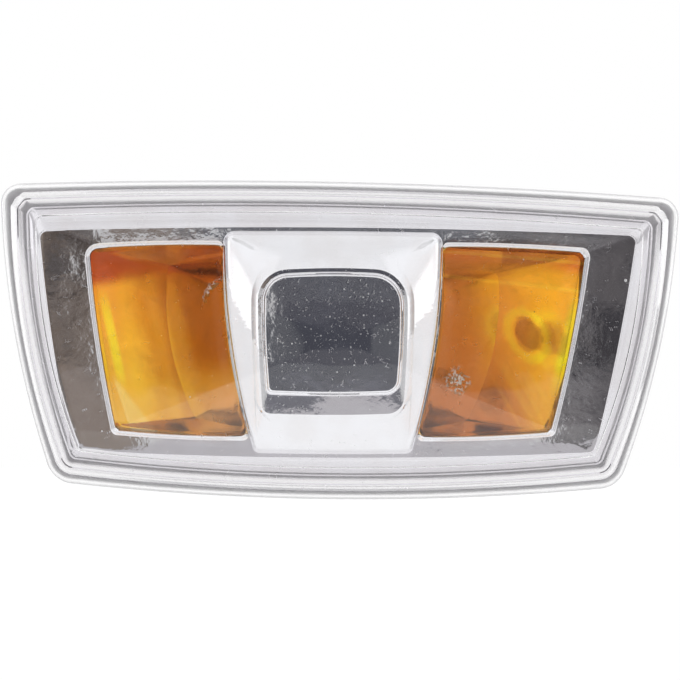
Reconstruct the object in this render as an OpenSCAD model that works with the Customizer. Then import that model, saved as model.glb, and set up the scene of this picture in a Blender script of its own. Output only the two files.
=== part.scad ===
// Side indicator lamp of a car: a clear lens welded to a moulded housing, over a
// chromed bezel, an amber filter and a reflector, with a wedge bulb in a bayonet holder.
// The lamp faces -Y, +Z is up and +X runs along it. The origin is the middle of the
// panel opening, on the outer face of the body panel.

/* [Lens] */
// Length over the two top corners
lens_w = 96.2; // [84:0.1:112]
// Height between the top and bottom edges, before their bows
lens_h = 41.4; // [38:0.1:52]
// How far the bottom left corner stands in from the top one
foot_left = 7.5; // [4:0.1:11]
// How far the bottom right corner stands in from the top one
foot_right = 8.7; // [4:0.1:11]
// Fall of the top edge from the left end to the right end
top_fall = 2.1; // [0:0.1:3]
// Fall of the bottom edge from the left end to the right end
foot_fall = 0.8; // [0:0.1:2]
// Outward bow of the top edge
bow_top = 1.3; // [0:0.1:2.5]
// Outward bow of the bottom edge
bow_foot = 2; // [0:0.1:2.5]
// Outward bow of each end
bow_end = 1.5; // [0:0.1:2.5]
// Radius of the top corners
corner_top = 2.8; // [1.5:0.1:5]
// Radius of the bottom corners
corner_foot = 4; // [1.5:0.1:6]
// Wall of the lens
lens_wall = 1.8; // [1.4:0.1:2.4]
// Width of the rounded shoulder round the face
shoulder_w = 4.8; // [3.5:0.1:6]
// Height of the rounded shoulder
shoulder_h = 5.4; // [3.5:0.1:6.5]
// Lean of the side wall below the shoulder
side_draft = 0.7; // [0.2:0.1:1.2]
// Rise of the face from its edge to its middle
lens_crown = 1.3; // [0.4:0.1:2.5]
// Gap between the rim of the lens and the panel
rim_gap = 0.5; // [0.2:0.1:1]
// Gap between the lens and the bridge of the bezel
lens_clear = 0.9; // [0.7:0.1:2]

/* [Bezel] */
// Wall of the bezel
bezel_wall = 1.4; // [1:0.1:1.8]
// Gap between the bezel and the wall of the lens
bezel_gap = 0.3; // [0.3:0.1:1.2]
// How far the flat face's top left corner stands in from the lens corner, along and up
face_top_left = [5.9, 6.8]; // [4:0.1:9]
// The same at the top right corner
face_top_right = [6.5, 5.4]; // [4:0.1:9]
// The same at the bottom right corner
face_foot_right = [3.7, 5.1]; // [3:0.1:9]
// The same at the bottom left corner
face_foot_left = [2.9, 4.6]; // [2.9:0.1:9]
// Outward bow of the flat face's top edge
face_bow_top = 0.8; // [0:0.1:1.4]
// Outward bow of the flat face's bottom edge
face_bow_foot = 0.9; // [0:0.1:1.4]
// Outward bow of the flat face's ends
face_bow_end = 0.4; // [0:0.1:1.4]
// Width of the flat face at the two ends
face_end = 5.9; // [4:0.1:9]
// Width of the flat face above the windows
face_above = 1.8; // [1.2:0.1:3]
// Width of the flat face below the windows
face_below = 2.2; // [1.2:0.1:3]
// Bevel round the windows
window_bevel = 0.7; // [0.3:0.1:1]
// Gap between the bridge and the flat face's edges
bridge_in = 0.5; // [0.2:0.1:1]
// Middle of the bridge and of the bulb, from the middle of the lens
lamp_x = -1; // [-3:0.1:3]
// Width of the bridge at its top
bridge_top_w = 30.8; // [26:0.1:36]
// Width of the bridge at its foot
bridge_foot_w = 22; // [18:0.1:28]
// Height of the sloping sides of the bridge
bridge_rise = 2.1; // [1.2:0.1:3]
// Outward bow of the sides of the bridge
bridge_bow = 1.1; // [0:0.1:1.6]
// Width of the flat top of the bridge
panel_w = 20.9; // [16:0.1:22]
// Height of the flat top of the bridge
panel_h = 19.8; // [12:0.1:21]
// Middle of the bridge's top above the middle of the lens
panel_y = -0.6; // [-2:0.1:2]
// Ledge beside and above the raised panel
ledge_side = 0.5; // [0.3:0.1:1.5]
// Ledge below the raised panel
ledge_foot = 2.6; // [0.5:0.1:4]
// Height that the panel stands proud of the bridge
panel_rise = 0.7; // [0.3:0.1:1.2]

/* [Amber filter and reflector] */
// Thickness of the filter
amber_t = 1.2; // [0.8:0.1:2]
// Height of the filter's pads in the windows
pad_rise = 0.7; // [0.3:0.1:1.2]
// Crown of the pads
pad_crown = 0.5; // [0.1:0.1:0.8]
// Thickness of the reflector
reflector_t = 1; // [0.8:0.1:1.5]
// Depth of the reflector's bowl
bowl_depth = 8; // [6:0.1:11]
// Length of the slope at each end of the bowl
bowl_slope = 20; // [14:0.1:21]
// Radius of the hole for the bulb
bulb_hole_r = 6.4; // [5.8:0.1:7.5]

/* [Housing] */
// Thickness of the foam gasket
gasket_t = 1.2; // [0.8:0.1:2]
// Width of the foam gasket
gasket_w = 2.2; // [1.6:0.1:2.4]
// Thickness of the housing's flange
flange_t = 1.4; // [1:0.1:2]
// Height of the weld rim
rim_h = 0.9; // [0.6:0.1:1.5]
// Distance from the lens edge to the panel opening
opening_in = 5.6; // [5.4:0.1:6.2]
// Wall of the housing
tub_wall = 1.5; // [1.2:0.1:1.8]
// Depth of the housing behind the panel
tub_depth = 15; // [13:0.1:20]
// Slope of the two ends of the housing at its floor
end_slope = 12; // [6:0.1:14]
// Thickness of the body panel that the lamp clips into
panel_t = 1; // [0.6:0.1:1.4]
// Width of the hook and of the spring latch
latch_w = 11; // [8:0.1:14]
// Thickness of the latch arm
latch_t = 1.2; // [0.9:0.1:1.6]
// Grip of the hook and of the latch tooth under the panel
latch_grip = 1; // [0.6:0.1:1.2]

/* [Bulb holder] */
// Radius of the port for the bulb holder
port_r = 10.8; // [10.2:0.1:11.6]
// Wall of the port's neck
neck_wall = 2.8; // [2.4:0.1:3.2]
// Length of the port's neck behind the housing
neck_h = 2; // [1:0.1:4]
// Depth of the bayonet tabs
tab_reach = 1.7; // [1.2:0.1:1.9]
// Width of the bayonet tabs
tab_w = 6; // [4:0.1:8]
// Thickness of the bayonet tabs
tab_t = 1.7; // [1.2:0.1:2]
// Thickness of the rubber seal
seal_t = 1.4; // [1:0.1:2]
// Thickness of the holder's flange
holder_flange_t = 2; // [1.6:0.1:3]
// Inner width of the plug socket
socket_w = 14.6; // [13.6:0.1:18]
// Inner height of the plug socket
socket_h = 9.8; // [9.6:0.1:12]
// Depth of the plug socket
socket_depth = 12.6; // [10:0.1:16]
// Wall of the plug socket
socket_wall = 1.3; // [1:0.1:2]
// Distance between the two contacts
pin_pitch = 5.6; // [4.8:0.1:6]
// Width of a contact
pin_w = 2.8; // [2:0.1:3.2]
// Thickness of a contact
pin_t = 0.6; // [0.4:0.1:0.8]
// Length of a contact's blade in the socket
blade_l = 8; // [6:0.1:9]

/* [Bulb] */
// Radius of the bulb
bulb_r = 5; // [4.6:0.1:5.3]
// Length of the bulb over its tip
bulb_l = 26.8; // [25:0.1:28]
// Wall of the bulb's glass
glass_t = 0.6; // [0.4:0.1:0.9]
// Width of the wedge base
wedge_w = 9.5; // [9.1:0.1:9.8]
// Thickness of the wedge base
wedge_t = 2.1; // [1.8:0.1:2.4]
// Height of the wedge base
wedge_h = 8.5; // [7:0.1:9.5]
// Radius of the lead wires
lead_r = 0.2; // [0.15:0.01:0.25]

/* [Hidden] */
// play between moulded pieces, and between the bayonet's faces
fit = 0.15;
arc_steps = 6;
edge_steps = 10;

// heights of the faces in the stack, from the panel towards the front
seat_z = gasket_t + flange_t;
land_z = seat_z + rim_h;
lip_z = seat_z + reflector_t;
amber_z = lip_z + amber_t;
face_z = amber_z + bezel_wall;
block_z = face_z + bridge_rise;
panel_z = block_z + panel_rise;
lens_edge_z = panel_z + lens_clear + lens_wall - lens_crown;

// distances from the edge of the lens
rim_in = lens_wall + fit;
land_w = 1.4;
rib_in = lens_wall + land_w;
bezel_in = rib_in + bezel_gap;
plate_in = bezel_in + bezel_wall + 2 * fit;
gasket_inner = opening_in - latch_grip - fit;
tub_in = opening_in + 0.4;
latch_room = 3.6;
wall_in = [tub_in, tub_in + latch_room, tub_in, tub_in];
bowl_gap = 2 * fit;
bowl_in = [for (d = wall_in) d + tub_wall + bowl_gap + reflector_t];
window_in = [face_below, face_end, face_above, face_end];

// levels behind the panel
slope_z = -4;
floor_z = -tub_depth + tub_wall;
bowl_z = lip_z - bowl_depth;
hook_z = -panel_t - fit;
neck_z = -tub_depth - neck_h;
seal_play = 0.05;
seal_z = neck_z - seal_play - seal_t;
flange_back_z = seal_z - holder_flange_t;
tab_z = floor_z + fit;
holder_top_z = tab_z + tab_t;
bulb_top_z = lip_z - 1;
wedge_z = bulb_top_z - bulb_l;
slot_z = wedge_z - 0.7;
web_t = 2.6;
socket_floor_z = slot_z - web_t;
socket_mouth_z = socket_floor_z - socket_depth;
glass_z = wedge_z + wedge_h - 1;
filament_z = glass_z + 10;
plug_r = port_r - 2 * fit;
neck_r = port_r + neck_wall;
twist_angle = 45;

// slopes of the housing's and the bowl's walls towards their floors
tub_taper = [1, end_slope, 1, end_slope];
bowl_taper = [3.4, bowl_slope, 3.4, bowl_slope];

// the contacts lie on the lead wires, which are folded up on both faces of the wedge
lead_fold = wedge_h - 2.5;
lead_y = wedge_t / 2 + lead_r;
contact_y = wedge_t / 2 + 2 * lead_r + pin_t / 2;
contact_fit = 0.1;
jog_z = socket_floor_z + 0.8;
contact_top_z = wedge_z + wedge_h - 2;
filament_r = 0.3;
$fn = 64;

// corners of the lens, counter-clockwise from the bottom left, seen from the front
lens_corners = [
    [-lens_w / 2 + foot_left, (foot_fall - lens_h) / 2],
    [lens_w / 2 - foot_right, (-foot_fall - lens_h) / 2],
    [lens_w / 2, (lens_h - top_fall) / 2],
    [-lens_w / 2, (lens_h + top_fall) / 2]
];
bows = [bow_foot, bow_end, bow_top, bow_end];
radii = [corner_foot, corner_foot, corner_top, corner_top];

// Outlines

function unit(v) = v / norm(v);
function turn(v, a) = [v[0] * cos(a) - v[1] * sin(a), v[0] * sin(a) + v[1] * cos(a)];
function cross2(u, v) = u[0] * v[1] - u[1] * v[0];
function out_normal(p, q) = let (d = unit(q - p)) [d[1], -d[0]];
function meet(p, u, q, v) = p + u * cross2(q - p, v) / cross2(u, v);

// The four corners moved in by d: one distance, or one for each of foot, right, top and left
function inset(c, d) = let (
    side = is_list(d) ? d : [d, d, d, d],
    p = [for (i = [0:3]) c[i] - out_normal(c[i], c[(i + 1) % 4]) * side[i]],
    u = [for (i = [0:3]) unit(c[(i + 1) % 4] - c[i])]
) [for (i = [0:3]) let (k = (i + 3) % 4) meet(p[k], u[k], p[i], u[i])];

// The point that the bowed edge i steers by, and a point along that edge
function steer(c, b, i) = let (p = c[i], q = c[(i + 1) % 4]) (p + q) / 2 + out_normal(p, q) * 2 * b[i];
function bezier(p, m, q, t) = p * (1 - t) * (1 - t) + m * 2 * t * (1 - t) + q * t * t;
function on_edge(c, i, t) = bezier(c[i], steer(c, face_bows, i), c[(i + 1) % 4], t);

// A closed outline with bowed edges and round corners
function outline(c, r, b = bows) = let (
    m = [for (i = [0:3]) steer(c, b, i)],
    ends = [for (i = [0:3]) let (
        d_in = unit(c[i] - m[(i + 3) % 4]),
        d_out = unit(m[i] - c[i]),
        a = acos(d_in * d_out),
        t = r[i] * tan(a / 2)
    ) [c[i] - d_in * t, c[i] + d_out * t, d_in, a]]
) [for (i = [0:3]) each concat(
    [for (k = [0:arc_steps]) let (
        e = ends[i],
        middle = e[0] + turn(e[2], 90) * r[i]
    ) middle + turn(e[2], -90 + e[3] * k / arc_steps) * r[i]],
    [for (k = [1:edge_steps - 1]) bezier(ends[i][1], m[i], ends[(i + 1) % 4][0], k / edge_steps)]
)];

function shrunk(r, d) = [for (x = r) max(x - d, 0.8)];
function lens_outline(d) = outline(inset(lens_corners, d), shrunk(radii, is_list(d) ? min(d) : d));
function at(points, z) = [for (p = points) [p[0], p[1], z]];
function centre(points) = [for (p = points) 1] * points / len(points);

// Solids from stacks of outlines

// A skin over rings of points with the same count, closed by a fan at each end
module skin(rings) {
    n = len(rings[0]);
    m = len(rings);
    sides = [for (j = [0:m - 2], i = [0:n - 1]) let (
        a = j * n + i,
        b = j * n + (i + 1) % n
    ) each [[a, a + n, b + n], [a, b + n, b]]];
    first_fan = [for (i = [0:n - 1]) [m * n, i, (i + 1) % n]];
    last_fan = [for (i = [0:n - 1]) [m * n + 1, (m - 1) * n + (i + 1) % n, (m - 1) * n + i]];
    points = [for (ring = rings) each ring];
    polyhedron(
        points = concat(points, [centre(rings[0]), centre(rings[m - 1])]),
        faces = concat(sides, first_fan, last_fan)
    );
}

// A flat plate or ring between two heights
module plate(points, z0, z1) translate([0, 0, z0]) linear_extrude(z1 - z0) polygon(points);

module ring_plate(outer, inner, z0, z1) difference() {
    plate(outer, z0, z1);
    plate(inner, z0 - 1, z1 + 1);
}

// Turns the lamp's own axes, x along, y up and z to the front, into the part's frame
module lamp_frame() rotate([90, 0, 0]) children();

// Corners of the bezel's bridge, of the step round its panel and of the two windows

face_corners = [
    lens_corners[0] + face_foot_left,
    lens_corners[1] + [-face_foot_right[0], face_foot_right[1]],
    lens_corners[2] - face_top_right,
    lens_corners[3] + [face_top_left[0], -face_top_left[1]]
];
face_bows = [face_bow_foot, face_bow_end, face_bow_top, face_bow_end];
face_radii = [1, 1, 1, 1];
function face_outline(d) = outline(inset(face_corners, d), shrunk(face_radii, d), face_bows);
window_corners = inset(face_corners, window_in);
function edge_at(c, i, x) = on_edge(c, i, (c[i][0] - x) / (c[i][0] - c[(i + 1) % 4][0]));
function bridge_at(side, top) = edge_at(inset(face_corners, bridge_in), top ? 2 : 0,
    lamp_x + side * (top ? bridge_top_w : bridge_foot_w) / 2);
bridge_corners = [bridge_at(-1, false), bridge_at(1, false), bridge_at(1, true), bridge_at(-1, true)];
bridge_bows = [0.1, bridge_bow, 0.1, bridge_bow];
bridge_radii = [1, 1, 1.6, 1.6];
panel_taper = 0.6;
panel_corners = [
    [lamp_x - panel_w / 2 + panel_taper, panel_y - panel_h / 2],
    [lamp_x + panel_w / 2 - panel_taper, panel_y - panel_h / 2],
    [lamp_x + panel_w / 2, panel_y + panel_h / 2],
    [lamp_x - panel_w / 2, panel_y + panel_h / 2]
];
panel_bows = [0.2, 0.2, 0.3, 0.2];
block_radii = [1.2, 2.4, 4.8, 4.2];
raised_radii = [0.9, 2.2, 4.4, 3.8];
raised_corners = inset(panel_corners, [ledge_foot, ledge_side, ledge_side, ledge_side]);
foot_step = 1.2;
function window_at(side, top) = edge_at(window_corners, top ? 2 : 0,
    lamp_x + side * (top ? bridge_top_w : bridge_foot_w + foot_step) / 2);
left_window = [window_corners[0], window_at(-1, false), window_at(-1, true), window_corners[3]];
right_window = [window_at(1, false), window_corners[1], window_corners[2], window_at(1, true)];
left_bows = [0.2, -bridge_bow, 0.2, face_bow_end];
right_bows = [0.2, face_bow_end, 0.2, -bridge_bow];
left_radii = [1, 0.8, 0.8, 1.8];
right_radii = [0.8, 1, 1.2, 0.8];

function bridge_outline(d) = outline(
    inset(bridge_corners, d),
    shrunk(bridge_radii, is_list(d) ? min(d) : d),
    bridge_bows
);
function panel_outline(d) = outline(inset(panel_corners, d), shrunk(block_radii, d), panel_bows);
function raised_outline(d) = outline(inset(raised_corners, d), shrunk(raised_radii, d), panel_bows);
beside = 0.35;
function left_outline(d) = outline(
    inset(left_window, [d, d * beside, d, d]),
    shrunk(left_radii, d),
    left_bows
);
function right_outline(d) = outline(
    inset(right_window, [d, d, d, d * beside]),
    shrunk(right_radii, d),
    right_bows
);

// Rings of the lens

face_rings = [0.16, 0.4, 0.6, 0.76, 0.9];
shoulder_steps = 7;
function scaled(points, s) = let (c = centre(points)) [for (p = points) c + (p - c) * s];
function crown_rings(points, z) = [
    for (s = face_rings) at(scaled(points, s), z + lens_crown * (1 - s * s))
];
function shoulder_ring(wall, a) = at(
    lens_outline(side_draft + shoulder_w - (shoulder_w - wall) * cos(a)),
    lens_edge_z - shoulder_h + (shoulder_h - wall) * sin(a)
);
face_edge = lens_outline(side_draft + shoulder_w);

module outer_lens() color([0.93, 0.95, 0.97, 0.45]) lamp_frame() skin(concat(
    crown_rings(face_edge, lens_edge_z - lens_wall),
    [for (k = [shoulder_steps:-1:0]) shoulder_ring(lens_wall, 90 * k / shoulder_steps)],
    [
        at(lens_outline(rib_in), land_z + 0.9),
        at(lens_outline(rib_in), land_z),
        at(lens_outline(lens_wall), land_z),
        at(lens_outline(lens_wall), rim_gap + 0.3),
        at(lens_outline(lens_wall - 0.3), rim_gap),
        at(lens_outline(0.4), rim_gap),
        at(lens_outline(0), rim_gap + 0.4)
    ],
    [for (k = [0:shoulder_steps]) shoulder_ring(0, 90 * k / shoulder_steps)],
    [for (k = [len(face_rings) - 1:-1:0]) crown_rings(face_edge, lens_edge_z)[k]]
));

// The windows' cut through the bezel, with the bevel at its front
module window_cut(rings) skin([
    at(rings[0], amber_z - 1),
    at(rings[0], face_z - 0.6),
    at(rings[1], face_z),
    at(rings[1], face_z + 0.5)
]);

module bezel_shell() skin([
    at(lens_outline(bezel_in), seat_z),
    at(lens_outline(bezel_in), face_z - bezel_wall),
    at(face_outline(-0.15), face_z - 0.4),
    at(face_outline(-0.1), face_z - 0.1),
    at(face_outline(0), face_z)
]);

module bridge_block() skin([
    at(bridge_outline(0), face_z - bezel_wall / 2),
    at(bridge_outline(0), face_z + 0.1),
    at(bridge_outline([1.7, 0.8, 0.8, 0.8]), face_z + 0.8),
    at(panel_outline(-0.3), block_z - 0.1),
    at(panel_outline(0), block_z),
    at(raised_outline(0), block_z),
    at(raised_outline(0.3), panel_z - 0.15),
    at(raised_outline(0.6), panel_z)
]);

module bridge_hollow() skin([
    at(bridge_outline(1.6), amber_z - 1),
    at(bridge_outline(1.6), amber_z),
    at(panel_outline(0.4), block_z - 1.2),
    at(raised_outline(1.6), panel_z - 1.2)
]);

module chrome_bezel() color([0.72, 0.73, 0.75]) lamp_frame() difference() {
    union() {
        bezel_shell();
        bridge_block();
    }
    plate(lens_outline(bezel_in + bezel_wall), seat_z - 1, amber_z);
    bridge_hollow();
    window_cut([left_outline(window_bevel), left_outline(0)]);
    window_cut([right_outline(window_bevel), right_outline(0)]);
}

// A pad of the filter, standing in a window with a shallow crown
module pad(rings, z) skin([
    at(rings[0], amber_z - amber_t / 2),
    at(rings[0], z - 0.2),
    at(rings[1], z),
    at(rings[2], z + pad_crown * 0.7),
    at(rings[3], z + pad_crown)
]);

pad_in = window_bevel + fit / beside;
pad_steps = [pad_in, pad_in + 0.3, pad_in + 2.2, pad_in + 5];
module amber_filter() color([0.93, 0.5, 0.08]) lamp_frame() union() {
    plate(lens_outline(plate_in), lip_z, amber_z);
    pad([for (d = pad_steps) left_outline(d)], amber_z + pad_rise);
    pad([for (d = pad_steps) right_outline(d)], amber_z + pad_rise);
}

function sloped_in(d, taper, k) = [for (i = [0:3]) d[i] + taper[i] * k];

// The bowl's skin, moved out by its wall for the outer face, with a floor that curves up to both ends
bowl_lip = 1.2;
bowl_curve = 1.6;
bowl_steps = 5;
module bowl(out, z1) skin(concat(
    [for (j = [0:bowl_steps]) let (k = j / bowl_steps) at(
        lens_outline([for (d = sloped_in(bowl_in, bowl_taper, 1 - k)) d - out]),
        bowl_z + (bowl_depth - bowl_lip) * pow(k, bowl_curve) - out * (1 - k)
    )],
    [at(lens_outline([for (d = bowl_in) d - out]), z1)]
));

module reflector() color([0.86, 0.87, 0.88]) lamp_frame() difference() {
    union() {
        plate(lens_outline(plate_in), seat_z, lip_z);
        bowl(reflector_t, lip_z - reflector_t / 2);
    }
    bowl(0, lip_z + 1);
    translate([lamp_x, 0, bowl_z - 3]) cylinder(r = bulb_hole_r, h = 6);
}

// The housing's outer or inner form
module tub(d, z0, z1) skin([
    at(lens_outline(sloped_in(d, tub_taper, 1)), z0),
    at(lens_outline(d), slope_z),
    at(lens_outline(d), z1)
]);

arm_in = tub_in + 0.2;
arm_foot_z = -11;
module end_box(side, z0, z1, w = latch_w) translate([side * lens_w / 4, -w / 2, z0])
    translate([side > 0 ? 0 : -lens_w / 2, 0, 0]) cube([lens_w / 2, w, z1 - z0]);

// The fixed hook at the left end, under the panel
module fixed_hook() intersection() {
    end_box(-1, hook_z - 2.2, hook_z);
    plate(lens_outline(opening_in - latch_grip), hook_z - 2.2, hook_z);
}

// The sprung latch at the right end: an arm with a tooth, joined to the housing at its foot
module spring_latch() intersection() {
    end_box(1, arm_foot_z, hook_z);
    union() {
        ring_plate(lens_outline(arm_in), lens_outline(arm_in + latch_t), arm_foot_z, hook_z);
        plate(lens_outline(arm_in), arm_foot_z, arm_foot_z + 1.4);
        ring_plate(
            lens_outline(opening_in - latch_grip),
            lens_outline(arm_in + latch_t / 2),
            hook_z - 1.2,
            hook_z
        );
        difference() {
            skin([
                at(lens_outline(arm_in + 0.2), hook_z - 4.4),
                at(lens_outline(opening_in - latch_grip), hook_z - 1)
            ]);
            plate(lens_outline(arm_in + latch_t / 2), hook_z - 5, hook_z);
        }
    }
}

// The gaps in the port that let the bayonet tabs through
module tab_gaps() for (k = [0:2])
    rotate([0, 0, twist_angle + 120 * k]) translate([0, -tab_w / 2 - 0.6, neck_z - 1]) intersection() {
        cube([port_r + tab_reach + 0.5, tab_w + 1.2, floor_z - neck_z + 2]);
        translate([0, tab_w / 2 + 0.6, 0]) cylinder(r = port_r + tab_reach + 0.4, h = floor_z - neck_z + 2);
    }

module housing() color([0.79, 0.79, 0.78]) lamp_frame() difference() {
    union() {
        plate(lens_outline(rim_in), gasket_t, seat_z);
        ring_plate(lens_outline(rim_in), lens_outline(rib_in), gasket_t, land_z);
        tub(wall_in, -tub_depth, seat_z - flange_t / 2);
        fixed_hook();
        spring_latch();
        translate([lamp_x, 0, neck_z]) cylinder(r = neck_r, h = neck_h + 1);
    }
    tub([for (d = wall_in) d + tub_wall], floor_z, seat_z + 1);
    translate([lamp_x, 0, neck_z - 1]) cylinder(r = port_r, h = floor_z - neck_z + 2);
    translate([lamp_x, 0, 0]) tab_gaps();
}

module panel_gasket() color([0.13, 0.13, 0.14]) lamp_frame()
    ring_plate(lens_outline(gasket_inner - gasket_w), lens_outline(gasket_inner), 0, gasket_t);

// The strip of one contact, seen along the lamp
module contact_strip(side) translate([side * pin_pitch / 2 - pin_w / 2, 0, 0]) rotate([90, 0, 90])
    linear_extrude(pin_w) scale([-side, 1]) polygon([
        [-pin_t / 2, socket_floor_z - blade_l],
        [pin_t / 2, socket_floor_z - blade_l],
        [pin_t / 2, jog_z],
        [contact_y + pin_t / 2, jog_z],
        [contact_y + pin_t / 2, contact_top_z],
        [contact_y - pin_t / 2, contact_top_z],
        [contact_y - pin_t / 2, jog_z + pin_t],
        [-pin_t / 2, jog_z + pin_t]
    ]);

module block(w, h, z0, z1) translate([-w / 2, -h / 2, z0]) cube([w, h, z1 - z0]);

socket_outer_w = socket_w + 2 * socket_wall;
socket_outer_h = socket_h + 2 * socket_wall;
body_r = 9.6;
holder_flange_r = neck_r + 0.2;
grip_w = 2.4;

// The room for one contact beside the wedge
module contact_room(side) translate([side * pin_pitch / 2, -side * contact_y / 2, 0])
    block(pin_w + 2 * contact_fit, contact_y + pin_t + contact_fit, slot_z, contact_top_z + 0.5);

module bulb_holder() color([0.16, 0.16, 0.17]) lamp_frame() translate([lamp_x, 0, 0]) difference() {
    union() {
        translate([0, 0, flange_back_z]) cylinder(r = plug_r, h = holder_top_z - flange_back_z);
        translate([0, 0, flange_back_z]) cylinder(r = holder_flange_r, h = holder_flange_t);
        translate([0, 0, socket_floor_z]) cylinder(r = body_r, h = flange_back_z - socket_floor_z + 1);
        block(socket_outer_w, socket_outer_h, socket_mouth_z, flange_back_z + 1);
        block(2 * holder_flange_r - 1.6, grip_w, socket_floor_z - 1, flange_back_z + 1);
        intersection() {
            translate([0, 0, tab_z]) cylinder(r = plug_r + tab_reach, h = tab_t);
            union() for (k = [0:2]) rotate([0, 0, 120 * k]) translate([0, -tab_w / 2, tab_z])
                cube([plug_r + tab_reach + 1, tab_w, tab_t]);
        }
        translate([0, socket_outer_h / 2, socket_mouth_z + 4]) rotate([0, 90, 0]) rotate([0, 0, 90])
            translate([0, 0, -2]) linear_extrude(4) polygon([[0, -0.5], [0, 0], [0, 4], [1.3, 3.6], [1.3, 3], [0.2, 0]]);
    }
    block(socket_w, socket_h, socket_mouth_z - 1, socket_floor_z);
    translate([0, 0, glass_z - 0.5]) cylinder(r = bulb_r + 0.5, h = 20);
    block(wedge_w + 2 * fit, wedge_t + 2 * fit, slot_z, glass_z + 1);
    contact_room(-1);
    contact_room(1);
    contact_strip(-1);
    contact_strip(1);
}

module holder_seal() color([0.3, 0.3, 0.32]) lamp_frame() translate([lamp_x, 0, seal_z]) difference() {
    cylinder(r = neck_r, h = seal_t);
    translate([0, 0, -1]) cylinder(r = plug_r, h = seal_t + 2);
}

module contact_left() color([0.72, 0.62, 0.42]) lamp_frame() translate([lamp_x, 0, 0]) contact_strip(-1);
module contact_right() color([0.72, 0.62, 0.42]) lamp_frame() translate([lamp_x, 0, 0]) contact_strip(1);

// Half of the bulb's outline, smaller by d
dome_z = bulb_top_z - bulb_r;
module bulb_half(d) intersection() {
    union() {
        translate([0, dome_z]) circle(r = bulb_r - d);
        translate([0, glass_z + d]) square([bulb_r - d, dome_z - glass_z - d]);
    }
    translate([0, glass_z - 1]) square([bulb_r, bulb_l]);
}

bore_r = lead_r + 0.03;
module bulb_glass() color([0.9, 0.94, 0.96, 0.5]) lamp_frame() translate([lamp_x, 0, 0]) difference() {
    union() {
        rotate_extrude() bulb_half(0);
        block(wedge_w, wedge_t, wedge_z, glass_z + glass_t / 2);
    }
    rotate_extrude() bulb_half(glass_t);
    for (side = [-1, 1]) translate([side * pin_pitch / 2, 0, wedge_z - 1]) cylinder(r = bore_r, h = wedge_h + 2);
}

module bulb_filament() color([0.5, 0.5, 0.52]) lamp_frame() translate([lamp_x, 0, filament_z])
    rotate([0, 90, 0]) translate([0, 0, -pin_pitch / 2 - 0.4]) cylinder(r = filament_r, h = pin_pitch + 0.8);

// One lead wire: up to the filament inside the bulb and folded up on a face of the wedge
module lead(side) translate([side * pin_pitch / 2, 0, 0]) {
    translate([0, 0, wedge_z - lead_r]) cylinder(r = lead_r, h = filament_z - filament_r - wedge_z + lead_r);
    translate([0, 0, wedge_z - lead_r]) sphere(r = lead_r);
    translate([0, 0, wedge_z - lead_r]) rotate([90 * side, 0, 0]) cylinder(r = lead_r, h = lead_y);
    translate([0, -side * lead_y, wedge_z - lead_r]) sphere(r = lead_r);
    translate([0, -side * lead_y, wedge_z - lead_r]) cylinder(r = lead_r, h = lead_fold);
}

module bulb_lead_left() color([0.66, 0.66, 0.68]) lamp_frame() translate([lamp_x, 0, 0]) lead(-1);
module bulb_lead_right() color([0.66, 0.66, 0.68]) lamp_frame() translate([lamp_x, 0, 0]) lead(1);

outer_lens();
chrome_bezel();
amber_filter();
reflector();
housing();
panel_gasket();
bulb_holder();
holder_seal();
contact_left();
contact_right();
bulb_glass();
bulb_filament();
bulb_lead_left();
bulb_lead_right();
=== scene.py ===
import math
import bpy
import bmesh
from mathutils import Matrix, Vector


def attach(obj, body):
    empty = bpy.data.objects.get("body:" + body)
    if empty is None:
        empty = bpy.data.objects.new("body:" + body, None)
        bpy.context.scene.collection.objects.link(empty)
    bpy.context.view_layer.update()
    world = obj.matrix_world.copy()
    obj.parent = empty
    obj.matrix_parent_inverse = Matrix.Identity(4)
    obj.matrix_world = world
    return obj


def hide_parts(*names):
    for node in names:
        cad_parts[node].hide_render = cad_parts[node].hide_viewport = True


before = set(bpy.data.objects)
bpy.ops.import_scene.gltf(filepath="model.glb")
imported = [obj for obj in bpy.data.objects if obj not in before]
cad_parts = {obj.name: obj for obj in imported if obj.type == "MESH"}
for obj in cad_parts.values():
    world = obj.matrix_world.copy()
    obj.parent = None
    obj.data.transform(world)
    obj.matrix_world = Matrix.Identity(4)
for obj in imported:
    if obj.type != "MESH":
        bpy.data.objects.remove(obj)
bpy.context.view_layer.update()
scene = bpy.context.scene
mm = 0.001

# Side indicator lamp. Shapes are drawn as the lamp is seen from the front, in millimetres:
# x along it, y up and h the height off the panel.


def onLamp(x, y, h):
    return Vector((x * mm, -h * mm, y * mm))


# Outlines have four corners, from the bottom left and the other way round from a clock
def unit(v):
    return v.normalized()


def outwards(p, q):
    d = unit(q - p)
    return Vector((d.y, -d.x))


def cross(a, b):
    return a.x * b.y - a.y * b.x


def inset(corners, d):
    sides = d if isinstance(d, (list, tuple)) else [d] * 4  # foot, right, top, left
    starts = [corners[i] - outwards(corners[i], corners[(i + 1) % 4]) * sides[i] for i in range(4)]
    ways = [unit(corners[(i + 1) % 4] - corners[i]) for i in range(4)]
    moved = []
    for i in range(4):
        before = (i + 3) % 4
        along = cross(starts[i] - starts[before], ways[i]) / cross(ways[before], ways[i])
        moved.append(starts[before] + ways[before] * along)
    return moved


def steer(corners, bows, i):
    p, q = corners[i], corners[(i + 1) % 4]
    return (p + q) / 2 + outwards(p, q) * 2 * bows[i]


def bezier(p, m, q, t):
    return p * (1 - t) * (1 - t) + m * 2 * t * (1 - t) + q * t * t


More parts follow.
